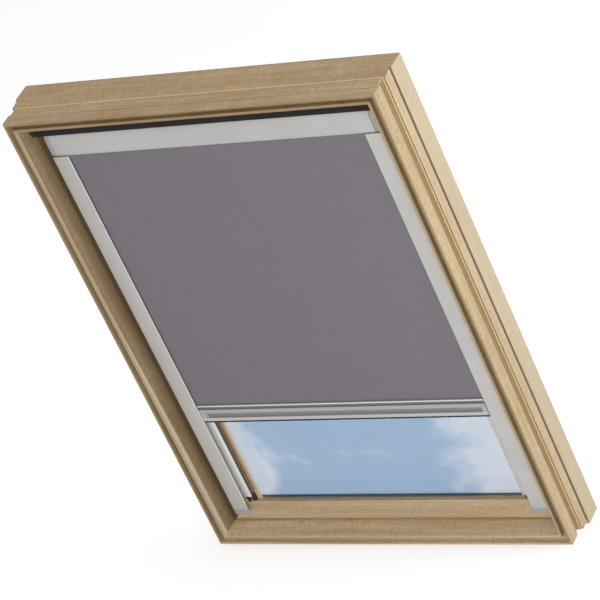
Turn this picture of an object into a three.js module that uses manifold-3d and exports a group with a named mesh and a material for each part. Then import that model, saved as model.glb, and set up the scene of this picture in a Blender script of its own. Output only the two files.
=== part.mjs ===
import * as THREE from 'three';
import { mergeVertices } from 'three/addons/utils/BufferGeometryUtils.js';
import Module from 'manifold-3d';

const wasm = await Module();
wasm.setup();

// Sizes are in millimetres. An inset is measured inwards from the outer edge of the frame's front lip,
// a depth from the lip's front face away from the room, and a height up from the lip's lower edge.
// A rise is measured up from the piece that carries a feature, and a drop down from its upper end.
const lipWidth = 769;
const lipHeight = 1032;
const fit = 0.3;
const mitreGap = 0.4;

// Pine frame, moulded sections mitred round the four sides. The head's top is plain but for one line.
const frameDepth = 111.5;
const lipThickness = 27;
const rebateInset = 4;
const rebateBack = 46.5;
const kerfInner = 0.85;
const kerfDepth = 3;
const kerfShare = 0.65;
const stepBack = 67.5;
const shadowGroove = 1.5;
const shadowGrooveInset = 1;
const frameEdge = 0.8;
const liningOuter = 5.1;
const liningDepth = 10;
const sashFace = 40;
const slopeBack = 2;
const groovePass = 20;
const headLineDepth = 18.6;
const headLineWidth = 1.1;
const headLineDeep = 1.4;
const jambSide = { riseStart: 2.3, stepOut: 2.3, backOut: 5.5, lining: 14.5, lip: 20, slope: 23.6, wall: 24 };
const headSide = { riseStart: 0.3, stepOut: 3.7, backOut: 4, lining: 14.5, lip: 20.5, slope: 23.6, wall: 24 };
const sillSide = {
  riseStart: 4.8, stepOut: 4.8, backOut: 11.5, lining: 19.1, lip: 23, slope: 26.4, wall: 26,
};

// Formed aluminium covers on the weather side.
const coverSetback = 8;
const coverRise = 8;
const coverSheet = 1.2;
const coverWallInset = 1;

// Opening sash.
const sashGap = 3;
const sashBack = 86;
const stileFaceWidth = 35;
const channelRebate = 48.3;
const sealInset = 84.5;
const sealStep = 2.3;
const sealFloorAcross = 7.6;
const sealFloorDeep = 5.8;
const sealEdge = 0.6;
const wallLipAcross = 0.9;
const wallLipRise = 1.8;
const glassLineInset = 97.5;
const glassFace = 60;
const paneThickness = 4;
const paneGap = 16;
const paneInset = 66;
const paneBottomRise = 12;
const rebateClear = 2;
const sashEdge = 1;
const railFaceHeight = 21.4;
const railNoseRadius = 5;
const railLedgeRise = 6.6;
const railWallHeight = 12;
const railWallEdge = 0.8;
const railGlassFall = 1.4;
const topRailFaceHeight = 24;
const topRailBackHeight = 69;
const topRailSlope = 7;
const spacerInset = 0.5;
const spacerWidth = 7;
const sashCoverRise = 6;
const sashCoverGrip = 2;

// Centre pivots, halfway up the sash.
const pivotDepth = 62;
const pivotPocketDeep = 3;
const pivotPlateWidth = 24;
const pivotPlateHeight = 110;
const pivotPlateCorner = 6;
const pivotPinRadius = 6;
const pivotPinEdge = 1;
const pivotBossRadius = 7;
const pivotFlangeRadius = 14;
const pivotFlange = 2.5;
const pivotReach = 8;

// Lock on the top rail's centre line.
const lockWidth = 50;
const lockThick = 18;
const lockHeight = 30;
const lockDepth = 58;
const lockSlotWidth = 22;
const lockSlotThick = 8;
const lockSlotDeep = 8;
const strikerWidth = 62;
const strikerThick = 1.7;

// Control bar across the top of the sash.
const handleInset = 26.5;
const handleFront = 25.5;
const handleTopDrop = 28.5;
const handleHeight = 23.5;
const handleBack = 36;
const handleWall = 2;
const handleBrowDeep = 5.4;
const handleBrowHigh = 6.5;
const handleSoleDeep = 2.5;
const handleSoleHigh = 5;
const handleCapWidth = 8.5;
const handleCapBack = 38.5;
const handleAxisDepth = 32;
const handleAxisRise = 6;
const handlePinRadius = 1.8;
const handlePinReach = 5;
const handlePinPlay = 0.6;
const handleBossRadius = 3.4;
const hingeWidth = 12;
const hingeArmRise = 4;
const hingeArmHeight = 10;
const hingeArmThick = 4;

// Side channels that hold the fabric's edges.
const channelOuter = 41.5;
const channelInner = 75;
const channelFace = 34;
const channelSheet = 1.4;
const channelRim = 0.8;
const channelWeb = 62;
const channelWebThick = 2;
const channelBack = 46.5;
const channelBackThick = 1.5;
const trackInner = 88.8;
const trackRimWidth = 6.6;
const channelFootRise = 31;
const trackFootRise = 24;
const channelCapHeight = 12.4;
const channelCapCorner = 1.2;
const clipInset = 74;
const clipWidth = 14;
const clipHeight = 13;
const clipToeStep = 3;
const clipToeWidth = 4;
const clipThick = 3.2;

// Cassette with the spring roller, let into the top of the sash.
const cassetteInset = 52;
const cassettePlateInset = 42;
const cassettePlateStep = 1.4;
const cassetteTopDrop = 55.5;
const cassetteHeight = 48.3;
const cassetteFront = 33.8;
const cassetteBack = 54.9;
const cassetteWall = 1.3;
const cassetteBrow = 14;
const cassetteChin = 12.8;
const cassetteMouthFront = 37;
const cassetteMouthBack = 41.6;
const cassetteRailThick = 1.6;
const bracketFront = 36.8;
const bracketThick = 2.2;
const bracketRise = 5.3;
const bracketHeight = 37;
const rollRise = 24.8;
const rollPlay = 0.6;
const rollInset = 67;
const tubeRadius = 6.5;
const tubeWall = 0.9;
const tubeInset = 66.5;
const axleRadius = 2.4;
const axleReach = 11.5;
const plugPlay = 0.9;
const plugFlangeRadius = 8;
const plugLength = 19;
const shaftRadius = 2.6;
const shaftEndInset = 300;
const springInset = 90;
const springLength = 200;
const springTurns = 16;
const wireRadius = 0.6;

// Fabric and its bottom bar.
const fabricThickness = 0.5;
const fabricDepth = 40;
const fabricPocket = 12;
const barEndInset = 77;
const barFace = 34;
const barBack = 42;
const barBottom = 289.3;
const barHeight = 37.7;
const barSlot = 0.8;
const barSlotDeep = 13.5;
const barEdge = 0.7;
const beadRadius = 1.7;
const grooveDrop = 3.9;
const grooveHeight = 5.9;
const grooveDeep = 3.2;
const bandDrop = 14.4;
const recessDrop = 18.8;
const recessHeight = 11.3;
const recessTopDeep = 2.2;
const recessDeep = 4.9;
const recessChin = 2.1;
const recessEndInset = 9;
const recessSlant = 5;
const gliderWidth = 10.7;
const gliderDepth = 8;
const gliderRise = 0.7;
const gliderHeight = 23;
const brushSetback = 0.8;
const brushBackingThick = 0.9;
const brushBackingWidth = 3.4;
const brushLength = 3.8;
const brushLengthSpread = 0.8;
const brushStrands = 340;
const strandRadius = 0.42;
const strandRow = 1.3;
const strandLean = 0.22;
const brushRoot = 0.45;

// Steps of the round forms.
const roundSteps = 32;
const pinSteps = 16;
const cornerSteps = 4;
const noseSteps = 6;
const handleSteps = 3;
const wireSides = 4;
const springStepsPerTurn = 10;
const strandSides = 3;
const strandLengthShare = 0.618;
const strandLeanShare = 0.414;

const halfTurn = Math.PI;
const quarterTurn = halfTurn / 2;

const halfWidth = lipWidth / 2;
const sashInset = jambSide.wall + sashGap;
const sashBottom = sillSide.wall + sashGap;
const sashTop = lipHeight - headSide.wall - sashGap;
const pivotHeight = (sashBottom + sashTop) / 2;
const paneBottom = sashBottom + paneBottomRise;
const paneTop = sashTop - topRailBackHeight + topRailSlope - rebateClear / 2;
const outerPaneFace = glassFace + paneThickness + paneGap;
const cassetteTop = lipHeight - cassetteTopDrop;
const cassetteBottom = cassetteTop - cassetteHeight;
const cassetteHousing = cassetteBack + fit;
const barTop = barBottom + barHeight;

const looks = {
  pine: { color: 0xcdb48f, roughness: 0.55, metalness: 0 },
  cover: { color: 0x4a4e52, roughness: 0.45, metalness: 0.6 },
  aluminium: { color: 0xb4b3b1, roughness: 0.42, metalness: 0.55 },
  cap: { color: 0xa9abae, roughness: 0.55, metalness: 0 },
  steel: { color: 0x9b9c9e, roughness: 0.35, metalness: 0.9 },
  anthracite: { color: 0x37383b, roughness: 0.5, metalness: 0.2 },
  rubber: { color: 0x24211f, roughness: 0.85, metalness: 0 },
  fabric: { color: 0x7c767c, roughness: 0.9, metalness: 0 },
  glass: { color: 0xa9bfd2, roughness: 0.05, metalness: 0 },
  spacer: { color: 0xb9bcbf, roughness: 0.35, metalness: 0.8 },
  bristle: { color: 0x141416, roughness: 0.95, metalness: 0 },
};

const alongX = new THREE.Matrix4().makeBasis(
  new THREE.Vector3(0, 1, 0),
  new THREE.Vector3(0, 0, 1),
  new THREE.Vector3(1, 0, 0),
);
const alongY = new THREE.Matrix4().makeBasis(
  new THREE.Vector3(0, 0, 1),
  new THREE.Vector3(1, 0, 0),
  new THREE.Vector3(0, 1, 0),
);
const alongZ = new THREE.Matrix4();

const assembly = new THREE.Group();

function addPiece(name, geometry, look) {
  const flat = geometry.index ? geometry.toNonIndexed() : geometry;
  flat.computeVertexNormals();
  const mesh = new THREE.Mesh(flat, new THREE.MeshStandardMaterial(looks[look]));
  mesh.name = name;
  assembly.add(mesh);
}

function geometryOf(positions, triangles) {
  const geometry = new THREE.BufferGeometry();
  geometry.setAttribute('position', new THREE.Float32BufferAttribute(positions, 3));
  geometry.setIndex(triangles);
  return geometry;
}

function signedVolume(positions, triangles) {
  const corners = [new THREE.Vector3(), new THREE.Vector3(), new THREE.Vector3()];
  let total = 0;
  for (let start = 0; start < triangles.length; start += 3) {
    corners.forEach((corner, offset) => corner.fromArray(positions, 3 * triangles[start + offset]));
    total += corners[0].dot(corners[1].cross(corners[2])) / 6;
  }
  return total;
}

// Solid between two rings of matching points, with both ends closed by the outline's triangles.
function solidBetween(first, last, outline) {
  const count = first.length;
  const positions = [...first, ...last].flat();
  const faces = THREE.ShapeUtils.triangulateShape(outline.map(([a, b]) => new THREE.Vector2(a, b)), []);
  const triangles = [];
  for (const [a, b, c] of faces) {
    triangles.push(a, b, c);
    triangles.push(count + a, count + c, count + b);
  }
  const turn = THREE.ShapeUtils.area(outline.map(([a, b]) => new THREE.Vector2(a, b))) > 0;
  for (let here = 0; here < count; here += 1) {
    const next = (here + 1) % count;
    const quad = [here, count + here, count + next, here, count + next, next];
    triangles.push(...(turn ? quad : quad.reverse()));
  }
  if (signedVolume(positions, triangles) < 0) {
    triangles.reverse();
  }
  return geometryOf(positions, triangles);
}

function outlineShape(outline, holes = []) {
  const shape = new THREE.Shape(outline.map(([a, b]) => new THREE.Vector2(a, b)));
  for (const hole of holes) {
    shape.holes.push(new THREE.Path(hole.map(([a, b]) => new THREE.Vector2(a, b))));
  }
  return shape;
}

// Straight length of one section. The section lies in depth and height for X, in across and depth for Z,
// and in height and across for Y.
function lengthOf(shape, direction, from, to) {
  const geometry = new THREE.ExtrudeGeometry(shape, { depth: to - from, steps: 1, bevelEnabled: false });
  geometry.translate(0, 0, from);
  geometry.applyMatrix4(direction);
  return geometry;
}

function boxBetween(low, high) {
  const size = high.map((value, axis) => value - low[axis]);
  const geometry = new THREE.BoxGeometry(...size);
  geometry.translate(...low.map((value, axis) => value + size[axis] / 2));
  return geometry;
}

function circle(radius, centre = [0, 0], steps = roundSteps) {
  return Array.from({ length: steps }, (_, index) => {
    const angle = (2 * Math.PI * (index + 0.5)) / steps;
    return [centre[0] + radius * Math.cos(angle), centre[1] + radius * Math.sin(angle)];
  });
}

function arc(centre, radii, startAngle, endAngle, steps) {
  return Array.from({ length: steps + 1 }, (_, index) => {
    const angle = startAngle + ((endAngle - startAngle) * index) / steps;
    return [centre[0] + radii[0] * Math.cos(angle), centre[1] + radii[1] * Math.sin(angle)];
  });
}

function rectangle([left, low], [right, high]) {
  return [[left, low], [right, low], [right, high], [left, high]];
}

// Rounded front in depth and height, from its brow down to its chin, set back by a distance.
function roundedFront({ front, brow, chin, low, high, steps }, setback) {
  const browCentre = [front + brow[0], high - brow[1]];
  const chinCentre = [front + chin[0], low + chin[1]];
  const browRadii = brow.map((size) => size - setback);
  const chinRadii = chin.map((size) => size - setback);
  return [
    ...arc(browCentre, browRadii, quarterTurn, halfTurn, steps),
    ...arc(chinCentre, chinRadii, halfTurn, halfTurn + quarterTurn, steps),
  ];
}

// Line moved to the left of its direction by a distance, or to the right if negative, with mitred corners.
function offsetLine(line, distance) {
  const normal = ([a, b], [c, d]) => {
    const run = Math.hypot(c - a, d - b);
    return [(b - d) / run, (c - a) / run];
  };
  return line.map((point, index) => {
    const first = index > 0 ? normal(line[index - 1], point) : normal(point, line[index + 1]);
    const second = index < line.length - 1 ? normal(point, line[index + 1]) : first;
    const stretch = distance / (1 + first[0] * second[0] + first[1] * second[1]);
    return point.map((value, axis) => value + (first[axis] + second[axis]) * stretch);
  });
}

// Body turned about an axis along X through a depth and a height. The profile lists inset and radius.
function turnedAcross(profile, depth, height, steps = roundSteps) {
  const closed = [...profile, profile[0]].map(([inset, radius]) => new THREE.Vector2(radius, inset));
  const geometry = new THREE.LatheGeometry(closed, steps);
  geometry.rotateZ(-quarterTurn);
  geometry.translate(-halfWidth, depth, height);
  return outward(geometry);
}

function outward(geometry) {
  const welded = mergedCorners(geometry);
  const positions = Array.from(welded.attributes.position.array);
  const triangles = Array.from(welded.index.array);
  const whole = [];
  for (let start = 0; start < triangles.length; start += 3) {
    const [a, b, c] = triangles.slice(start, start + 3);
    if (a !== b && b !== c && c !== a) {
      whole.push(a, b, c);
    }
  }
  if (signedVolume(positions, whole) < 0) {
    whole.reverse();
  }
  return geometryOf(positions, whole);
}

function mergedCorners(geometry) {
  const bare = geometry.clone();
  bare.deleteAttribute('normal');
  bare.deleteAttribute('uv');
  return mergeVertices(bare);
}

function toSolid(geometry) {
  const welded = outward(geometry);
  const vertProperties = new Float32Array(welded.attributes.position.array);
  const triVerts = new Uint32Array(welded.index.array);
  return new wasm.Manifold(new wasm.Mesh({ numProp: 3, vertProperties, triVerts }));
}

function toGeometry(solid) {
  const mesh = solid.getMesh();
  return geometryOf(Array.from(mesh.vertProperties), Array.from(mesh.triVerts));
}

function cut(geometry, ...tools) {
  return toGeometry(tools.reduce((solid, tool) => solid.subtract(toSolid(tool)), toSolid(geometry)));
}

function joined(...geometries) {
  return toGeometry(geometries.slice(1).reduce((solid, other) => solid.add(toSolid(other)),
    toSolid(geometries[0])));
}

function mirrored(geometry) {
  const copy = geometry.clone();
  copy.scale(-1, 1, 1);
  return outward(copy);
}

function addPair(name, geometry, look) {
  addPiece(`${name}_left`, geometry, look);
  addPiece(`${name}_right`, mirrored(geometry), look);
}

// Four mitred sides from three matching sections of inset and depth.
function mitredSides(jamb, head, sill) {
  const half = mitreGap / 2;
  const left = (index) => -halfWidth + jamb[index][0];
  const top = (index) => lipHeight - head[index][0];
  const bottom = (index) => sill[index][0];
  const ring = (place) => jamb.map(([, depth], index) => place(index, depth));
  const leftJamb = solidBetween(
    ring((index, depth) => [left(index), depth, bottom(index) + half]),
    ring((index, depth) => [left(index), depth, top(index) - half]),
    jamb,
  );
  const across = (height) => solidBetween(
    ring((index, depth) => [left(index) + half, depth, height(index)]),
    ring((index, depth) => [-left(index) - half, depth, height(index)]),
    jamb,
  );
  return { left: leftJamb, right: mirrored(leftJamb), head: across(top), sill: across(bottom) };
}

function frameSection({ riseStart, stepOut, backOut, lining, lip, slope, wall }) {
  return [
    [frameEdge, 0],
    [0, frameEdge],
    [0, rebateBack],
    [-riseStart, rebateBack],
    [-stepOut, stepBack],
    [-backOut, stepBack + shadowGroove],
    [-backOut, frameDepth - frameEdge],
    [-backOut + frameEdge, frameDepth],
    [wall, frameDepth],
    [wall, sashFace],
    [slope, sashFace - slopeBack],
    [lip, frameEdge],
    [lip - frameEdge, 0],
    [lining, 0],
    [lining, liningDepth],
    [liningOuter, liningDepth],
    [liningOuter, 0],
  ];
}

function coverSection(outer, inner, seat, rise) {
  const top = seat + rise;
  return [
    [outer, seat],
    [outer, top - coverSheet],
    [outer + coverSheet, top],
    [inner - coverSheet, top],
    [inner, top - coverSheet],
    [inner, seat],
    [inner - coverSheet, seat],
    [inner - coverSheet, top - coverSheet],
    [outer + coverSheet, top - coverSheet],
    [outer + coverSheet, seat],
  ];
}

const frameSides = mitredSides(frameSection(jambSide), frameSection(headSide), frameSection(sillSide));

// Rebate, kerf and shadow line of an outer face, each by its insets and its depths.
function outerGrooves({ stepOut }) {
  return [
    [-groovePass, rebateInset, lipThickness, rebateBack],
    [-stepOut * kerfShare, kerfInner, rebateBack, rebateBack + kerfDepth],
    [-groovePass, shadowGrooveInset, stepBack, stepBack + shadowGroove],
  ];
}
const leftGrooves = outerGrooves(jambSide).map(([outer, inner, front, back]) => boxBetween(
  [outer - halfWidth, front, -groovePass], [inner - halfWidth, back, lipHeight + groovePass],
));
const rightGrooves = leftGrooves.map(mirrored);
const sillGrooves = outerGrooves(sillSide).map(([outer, inner, front, back]) => boxBetween(
  [-halfWidth - groovePass, front, outer], [halfWidth + groovePass, back, inner],
));
const headLine = boxBetween(
  [-halfWidth - groovePass, headLineDepth, lipHeight - headLineDeep],
  [halfWidth + groovePass, headLineDepth + headLineWidth, lipHeight + groovePass],
);

// Pockets for the pivot plates in the jambs, and for the striker in the head.
const wallPlane = -halfWidth + jambSide.wall;
const pocketPlane = wallPlane - pivotPocketDeep;
const plateHalfWidth = pivotPlateWidth / 2;
const plateHalfHeight = pivotPlateHeight / 2;
const boreRadius = pivotBossRadius + fit;
const boreEnd = pocketPlane - pivotReach - fit;
const pivotPocket = boxBetween(
  [pocketPlane, pivotDepth - plateHalfWidth - fit, pivotHeight - plateHalfHeight - fit],
  [wallPlane + sashGap, pivotDepth + plateHalfWidth + fit, pivotHeight + plateHalfHeight + fit],
);
const pivotBore = lengthOf(
  outlineShape(circle(boreRadius, [pivotDepth, pivotHeight])), alongX, boreEnd, wallPlane,
);
const strikerPlane = lipHeight - headSide.wall;
const lockCentre = lockDepth + lockThick / 2;
const strikerPocketTop = strikerPlane + strikerThick + fit;
const strikerPocket = boxBetween(
  [-strikerWidth / 2 - fit, lockDepth - fit, strikerPlane - sashGap],
  [strikerWidth / 2 + fit, lockDepth + lockThick + fit, strikerPocketTop],
);
const strikerMortise = boxBetween(
  [-lockSlotWidth / 2, lockCentre - lockSlotThick / 2, strikerPlane - sashGap],
  [lockSlotWidth / 2, lockCentre + lockSlotThick / 2, strikerPocketTop + lockSlotDeep],
);
addPair('frame_jamb', cut(
  frameSides.left, pivotPocket, pivotBore, ...leftGrooves, ...sillGrooves, headLine,
), 'pine');
addPiece('frame_head', cut(
  frameSides.head, strikerPocket, strikerMortise, headLine, ...leftGrooves, ...rightGrooves,
), 'pine');
addPiece('frame_sill', cut(frameSides.sill, ...sillGrooves, ...leftGrooves, ...rightGrooves), 'pine');

const frameCovers = mitredSides(...[jambSide, headSide, sillSide].map(({ backOut, wall }) => coverSection(
  coverSetback - backOut, wall - coverWallInset, frameDepth + fit, coverRise,
)));
addPiece('frame_cover_left', frameCovers.left, 'cover');
addPiece('frame_cover_right', frameCovers.right, 'cover');
addPiece('frame_cover_head', frameCovers.head, 'cover');
addPiece('frame_cover_sill', frameCovers.sill, 'cover');

// Pivot plates on the frame and pins on the sash.
function roundedPlate(centre, halfAcross, halfUp, corner, steps) {
  const across = halfAcross - corner;
  const up = halfUp - corner;
  const corners = [[across, up, 0], [-across, up, 1], [-across, -up, 2], [across, -up, 3]];
  return corners.flatMap(([a, b, turn]) => arc(
    [centre[0] + a, centre[1] + b], [corner, corner], turn * quarterTurn, (turn + 1) * quarterTurn, steps,
  ));
}

const plateOutline = roundedPlate(
  [pivotDepth, pivotHeight], plateHalfWidth, plateHalfHeight, pivotPlateCorner, cornerSteps,
);
const plateShape = outlineShape(plateOutline, [circle(boreRadius, [pivotDepth, pivotHeight])]);
addPair('pivot_plate', lengthOf(plateShape, alongX, pocketPlane + fit, wallPlane - fit), 'steel');

const pinTip = jambSide.wall - pivotPocketDeep - pivotReach;
const pinFlangeBack = sashInset + pivotFlange;
const pivotPin = turnedAcross([
  [pinTip, 0],
  [pinTip, pivotPinRadius - pivotPinEdge],
  [pinTip + pivotPinEdge, pivotPinRadius],
  [jambSide.wall - pivotPocketDeep, pivotPinRadius],
  [jambSide.wall - pivotPocketDeep, pivotBossRadius],
  [sashInset - fit, pivotBossRadius],
  [sashInset - fit, pivotFlangeRadius],
  [pinFlangeBack, pivotFlangeRadius],
  [pinFlangeBack, 0],
], pivotDepth, pivotHeight);
addPair('pivot_pin', pivotPin, 'steel');
const pinSeat = lengthOf(
  outlineShape(circle(pivotFlangeRadius + fit, [pivotDepth, pivotHeight])),
  alongX, -halfWidth + sashInset - sashGap, -halfWidth + pinFlangeBack + fit,
);

const lockSlotOutline = rectangle(
  [-lockSlotWidth / 2, lockCentre - lockSlotThick / 2],
  [lockSlotWidth / 2, lockCentre + lockSlotThick / 2],
);
const strikerShape = outlineShape(
  rectangle([-strikerWidth / 2, lockDepth], [strikerWidth / 2, lockDepth + lockThick]),
  [lockSlotOutline],
);
addPiece('striker_plate', lengthOf(strikerShape, alongZ, strikerPlane, strikerPlane + strikerThick), 'steel');

// Sash rails run the full width, and the stiles are coped over them.
const paneLipBack = glassFace - fit;
const railFaceTop = sashBottom + railFaceHeight;
const railLedge = railFaceTop + railLedgeRise;
const railWallTop = railLedge + railWallHeight;
const railGlassTop = railWallTop - railGlassFall;
const rebateFloor = paneBottom - rebateClear;
const railSurface = [
  [sashFace, railFaceTop],
  [channelRebate, railLedge],
  [channelRebate, railWallTop - railWallEdge],
  [channelRebate + railWallEdge, railWallTop],
  [paneLipBack, railGlassTop],
];
const noseCentre = [sashFace + railNoseRadius, sashBottom + railNoseRadius];
const bottomRailOutline = [
  ...arc(noseCentre, [railNoseRadius, railNoseRadius], halfTurn + quarterTurn, halfTurn, noseSteps),
  ...railSurface,
  [paneLipBack, rebateFloor],
  [sashBack, rebateFloor],
  [sashBack, sashBottom],
];
const railEnd = halfWidth - sashInset;
const bottomRail = lengthOf(outlineShape(bottomRailOutline), alongX, -railEnd, railEnd);
addPiece('sash_bottom_rail', bottomRail, 'pine');

const topFaceLow = sashTop - topRailFaceHeight;
const topBackLow = sashTop - topRailBackHeight;
const topGlassLow = topBackLow - topRailSlope;
const topRebate = paneTop + rebateClear;
const topRailSurface = [
  [sashFace, topFaceLow],
  [cassetteHousing, topFaceLow],
  [cassetteHousing, topBackLow],
  [paneLipBack, topGlassLow],
];
const topRailOutline = [
  [sashFace, sashTop - sashEdge],
  ...topRailSurface,
  [paneLipBack, topRebate],
  [sashBack, topRebate],
  [sashBack, sashTop],
  [sashFace + sashEdge, sashTop],
];
const lockPocketLow = sashTop - lockHeight - fit;
const lockPocket = boxBetween(
  [-lockWidth / 2 - fit, lockDepth - fit, lockPocketLow],
  [lockWidth / 2 + fit, lockDepth + lockThick + fit, lipHeight],
);
const topRail = lengthOf(outlineShape(topRailOutline), alongX, -railEnd, railEnd);
addPiece('sash_top_rail', cut(topRail, lockPocket), 'pine');

const lockCase = boxBetween(
  [-lockWidth / 2, lockDepth, sashTop - lockHeight],
  [lockWidth / 2, lockDepth + lockThick, sashTop],
);
const lockSlot = boxBetween(
  [-lockSlotWidth / 2, lockCentre - lockSlotThick / 2, sashTop - lockSlotDeep],
  [lockSlotWidth / 2, lockCentre + lockSlotThick / 2, lipHeight],
);
addPiece('lock_case', cut(lockCase, lockSlot), 'steel');

// Cutters that stand the clearance off both rails.
const belowAll = -sashBottom;
const aboveAll = lipHeight + sashBottom;
const bottomCope = lengthOf(outlineShape([
  [0, belowAll],
  [0, railFaceTop + fit],
  ...offsetLine(railSurface, fit),
  [paneLipBack + fit, railGlassTop + fit],
  [paneLipBack + fit, rebateFloor + fit],
  [frameDepth, rebateFloor + fit],
  [frameDepth, belowAll],
]), alongX, -halfWidth, halfWidth);
const topCope = lengthOf(outlineShape([
  [0, aboveAll],
  [0, topFaceLow - fit],
  ...offsetLine(topRailSurface, -fit),
  [paneLipBack + fit, topGlassLow - fit],
  [paneLipBack + fit, topRebate - fit],
  [frameDepth, topRebate - fit],
  [frameDepth, aboveAll],
]), alongX, -halfWidth, halfWidth);

const stileStep = sashInset + stileFaceWidth - fit;
const sealFloor = [sealInset + sealFloorAcross, channelRebate + sealStep + sealFloorDeep];
const stileOutline = [
  [sashInset + sashEdge, sashFace],
  [stileStep, sashFace],
  [stileStep, channelRebate],
  [sealInset, channelRebate],
  [sealInset, channelRebate + sealStep],
  sealFloor,
  [sealFloor[0] + wallLipAcross, sealFloor[1] - wallLipRise],
  [glassLineInset, paneLipBack],
  [paneInset - rebateClear, paneLipBack],
  [paneInset - rebateClear, sashBack],
  [sashInset, sashBack],
  [sashInset, sashFace + sashEdge],
];
function fromLeft(outline) {
  return outline.map(([inset, other]) => [inset - halfWidth, other]);
}

// Housing in the stiles for the cassette.
const stileHousing = boxBetween(
  [stileStep - halfWidth, sashFace, cassetteBottom - fit],
  [glassLineInset + fit - halfWidth, cassetteHousing, topFaceLow],
);
const stile = lengthOf(outlineShape(fromLeft(stileOutline)), alongZ, sashBottom, sashTop);
addPair('sash_stile', cut(stile, bottomCope, topCope, pinSeat, stileHousing), 'pine');

// Dark gasket in the stile's recess beside the side channel.
const sealOutline = [
  [sealInset + fit, channelRebate],
  [sealFloor[0] + wallLipAcross / 2, sealFloor[1] - wallLipRise - fit],
  [sealFloor[0] - fit, sealFloor[1] - sealEdge],
  [sealInset + fit, channelRebate + sealStep - fit],
];
const seal = lengthOf(outlineShape(fromLeft(sealOutline)), alongZ, sashBottom, cassetteBottom - fit);
addPair('sash_gasket', cut(seal, bottomCope), 'rubber');

// Double glazing.
const paneEnd = halfWidth - paneInset;
addPiece('inner_pane', boxBetween(
  [-paneEnd, glassFace, paneBottom],
  [paneEnd, glassFace + paneThickness, paneTop],
), 'glass');
addPiece('outer_pane', boxBetween(
  [-paneEnd, outerPaneFace, paneBottom],
  [paneEnd, outerPaneFace + paneThickness, paneTop],
), 'glass');
const spacerFront = glassFace + paneThickness + fit;
const spacerBack = outerPaneFace - fit;
const spacerEnd = paneEnd - spacerInset;
const spacerLow = paneBottom + spacerInset;
const spacerHigh = paneTop - spacerInset;
addPair('glass_spacer', boxBetween(
  [-spacerEnd, spacerFront, spacerLow + spacerWidth + fit],
  [-spacerEnd + spacerWidth, spacerBack, spacerHigh - spacerWidth - fit],
), 'spacer');
addPiece('glass_spacer_bottom', boxBetween(
  [-spacerEnd, spacerFront, spacerLow],
  [spacerEnd, spacerBack, spacerLow + spacerWidth],
), 'spacer');
addPiece('glass_spacer_top', boxBetween(
  [-spacerEnd, spacerFront, spacerHigh - spacerWidth],
  [spacerEnd, spacerBack, spacerHigh],
), 'spacer');

// Weather covers of the sash, whose inner legs hold the outer pane.
const paneSeat = outerPaneFace + paneThickness + fit;
function sashCoverSection(outer, inner) {
  const top = sashBack + fit + sashCoverRise;
  return [
    [outer, sashBack + fit],
    [outer, top - coverSheet],
    [outer + coverSheet, top],
    [inner - coverSheet, top],
    [inner, top - coverSheet],
    [inner, paneSeat],
    [inner - coverSheet, paneSeat],
    [inner - coverSheet, top - coverSheet],
    [outer + coverSheet, top - coverSheet],
    [outer + coverSheet, sashBack + fit],
  ];
}
const sashCovers = mitredSides(
  sashCoverSection(sashInset + sashEdge, paneInset + sashCoverGrip),
  sashCoverSection(lipHeight - sashTop + sashEdge, lipHeight - paneTop + sashCoverGrip),
  sashCoverSection(sashBottom + sashEdge, paneBottom + sashCoverGrip),
);
addPiece('sash_cover_left', sashCovers.left, 'cover');
addPiece('sash_cover_right', sashCovers.right, 'cover');
addPiece('sash_cover_head', sashCovers.head, 'cover');
addPiece('sash_cover_sill', sashCovers.sill, 'cover');

// Control bar: an open-backed extrusion that turns on pins in its end caps.
const handleTop = lipHeight - handleTopDrop;
const handleBottom = handleTop - handleHeight;
const handleAxis = [handleAxisDepth, handleBottom + handleAxisRise];
const handleForm = {
  front: handleFront,
  brow: [handleBrowDeep, handleBrowHigh],
  chin: [handleSoleDeep, handleSoleHigh],
  low: handleBottom,
  high: handleTop,
  steps: handleSteps,
};
const handleOutside = roundedFront(handleForm, 0);
const handleOutline = [
  ...handleOutside,
  [handleBack, handleBottom],
  [handleBack, handleBottom + handleWall],
  ...roundedFront(handleForm, handleWall).reverse(),
  [handleBack, handleTop - handleWall],
  [handleBack, handleTop],
];
const handleEnd = halfWidth - handleInset;
const handleBarEnd = handleEnd - handleCapWidth - fit;
addPiece('control_bar', lengthOf(
  outlineShape(handleOutline), alongX, -handleBarEnd, handleBarEnd,
), 'anthracite');
const capOutline = [
  ...handleOutside,
  [handleBack, handleBottom],
  [handleCapBack, handleAxis[1] + handleWall],
  [handleCapBack, handleTop],
];
const capBody = lengthOf(outlineShape(capOutline), alongX, -handleEnd, -handleEnd + handleCapWidth);
const pinHole = lengthOf(
  outlineShape(circle(handlePinRadius + fit, handleAxis, pinSteps)),
  alongX, -handleBarEnd - handlePinReach - handlePinPlay, -handleBarEnd,
);
addPair('control_bar_cap', cut(capBody, pinHole), 'anthracite');

// Hinge brackets inside the bar, screwed to the top rail.
const hingeStart = -handleBarEnd;
const hingeBack = sashFace - fit;
const hingeArmLow = handleAxis[1] + hingeArmRise;
const hingeArmHigh = hingeArmLow + hingeArmHeight;
const hingeArm = lengthOf(outlineShape([
  [hingeBack, hingeArmLow],
  [hingeBack, hingeArmHigh],
  [hingeBack - hingeArmThick, hingeArmHigh],
  [handleAxisDepth - handleBossRadius / 2, handleAxis[1] + handleBossRadius / 2],
  [handleAxisDepth + handleBossRadius / 2, handleAxis[1]],
  [handleAxisDepth + handleBossRadius, hingeArmLow],
]), alongX, hingeStart, hingeStart + hingeWidth);
const hingeBoss = lengthOf(
  outlineShape(circle(handleBossRadius, handleAxis, pinSteps)), alongX, hingeStart, hingeStart + hingeWidth,
);
const hingePin = lengthOf(
  outlineShape(circle(handlePinRadius, handleAxis, pinSteps)),
  alongX, hingeStart - handlePinReach, hingeStart + hingeWidth / 2,
);
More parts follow.
